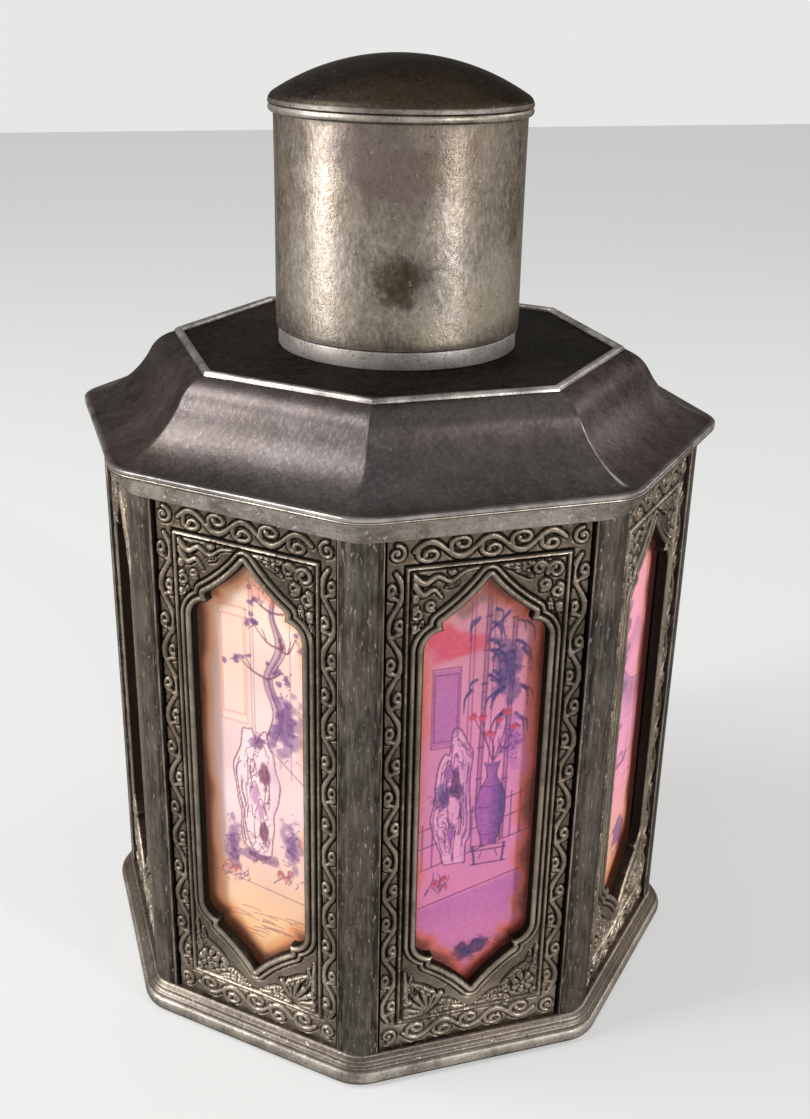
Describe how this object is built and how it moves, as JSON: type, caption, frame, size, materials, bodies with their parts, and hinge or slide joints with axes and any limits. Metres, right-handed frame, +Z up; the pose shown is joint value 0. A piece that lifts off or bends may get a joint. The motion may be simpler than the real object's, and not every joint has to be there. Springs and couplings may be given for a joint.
{
  "type": "tea caddy",
  "caption": "Eight-sided pewter tea caddy with glazed picture panels behind cast openwork frames, a stepped shoulder, a stopper and a domed slip-on cap.",
  "frame": {"origin": "centre of the foot's flat underside, on the table", "axes": "+Z up along the axis of the neck and cap; one of the flat sides faces -Y"},
  "size_m": [0.1128, 0.1128, 0.1752],
  "materials": {
    "body_pewter": "brushed, dark patina",
    "cast_pewter": "cast relief, dark in the hollows",
    "worn_pewter": "worn bright",
    "shoulder_pewter": "smooth, dark patina",
    "cap_pewter": "smooth, stained",
    "inner_pewter": "dull",
    "glass": "clear",
    "picture": "painted sheet"
  },
  "bodies": {
    "caddy": {"foot_plate": "body_pewter", "foot_rim": "worn_pewter", "base_band": "body_pewter", "top_band": "body_pewter", "post_1": "body_pewter", "post_2": "body_pewter", "post_3": "body_pewter", "post_4": "body_pewter", "post_5": "body_pewter", "post_6": "body_pewter", "post_7": "body_pewter", "post_8": "body_pewter", "panel_1": "cast_pewter", "panel_2": "cast_pewter", "panel_3": "cast_pewter", "panel_4": "cast_pewter", "panel_5": "cast_pewter", "panel_6": "cast_pewter", "panel_7": "cast_pewter", "panel_8": "cast_pewter", "glass_1": "glass", "glass_2": "glass", "glass_3": "glass", "glass_4": "glass", "glass_5": "glass", "glass_6": "glass", "glass_7": "glass", "glass_8": "glass", "picture_1": "picture", "picture_2": "picture", "picture_3": "picture", "picture_4": "picture", "picture_5": "picture", "picture_6": "picture", "picture_7": "picture", "picture_8": "picture", "liner_floor": "inner_pewter", "liner_wall": "inner_pewter", "lip_plate": "worn_pewter", "shoulder": "shoulder_pewter", "deck": "shoulder_pewter", "ridge_bead": "worn_pewter", "collar": "worn_pewter", "neck": "inner_pewter"},
    "stopper": {"plug_disc": "inner_pewter", "plug_skirt": "inner_pewter", "plug_knob": "inner_pewter"},
    "cap": {"cap_skirt": "cap_pewter", "cap_bead": "worn_pewter", "cap_dome": "shoulder_pewter"}
  },
  "joints": [
    {"name": "cap_lift", "type": "slide", "parent": "caddy", "child": "cap", "axis": [0, 0, 1], "range_m": [0, 0.1]},
    {"name": "stopper_lift", "type": "slide", "parent": "caddy", "child": "stopper", "axis": [0, 0, 1], "range_m": [0, 0.04]}
  ],
  "couplings": [
    {"joint": "stopper_lift", "follows": "cap_lift", "ratio": 0.4}
  ]
}
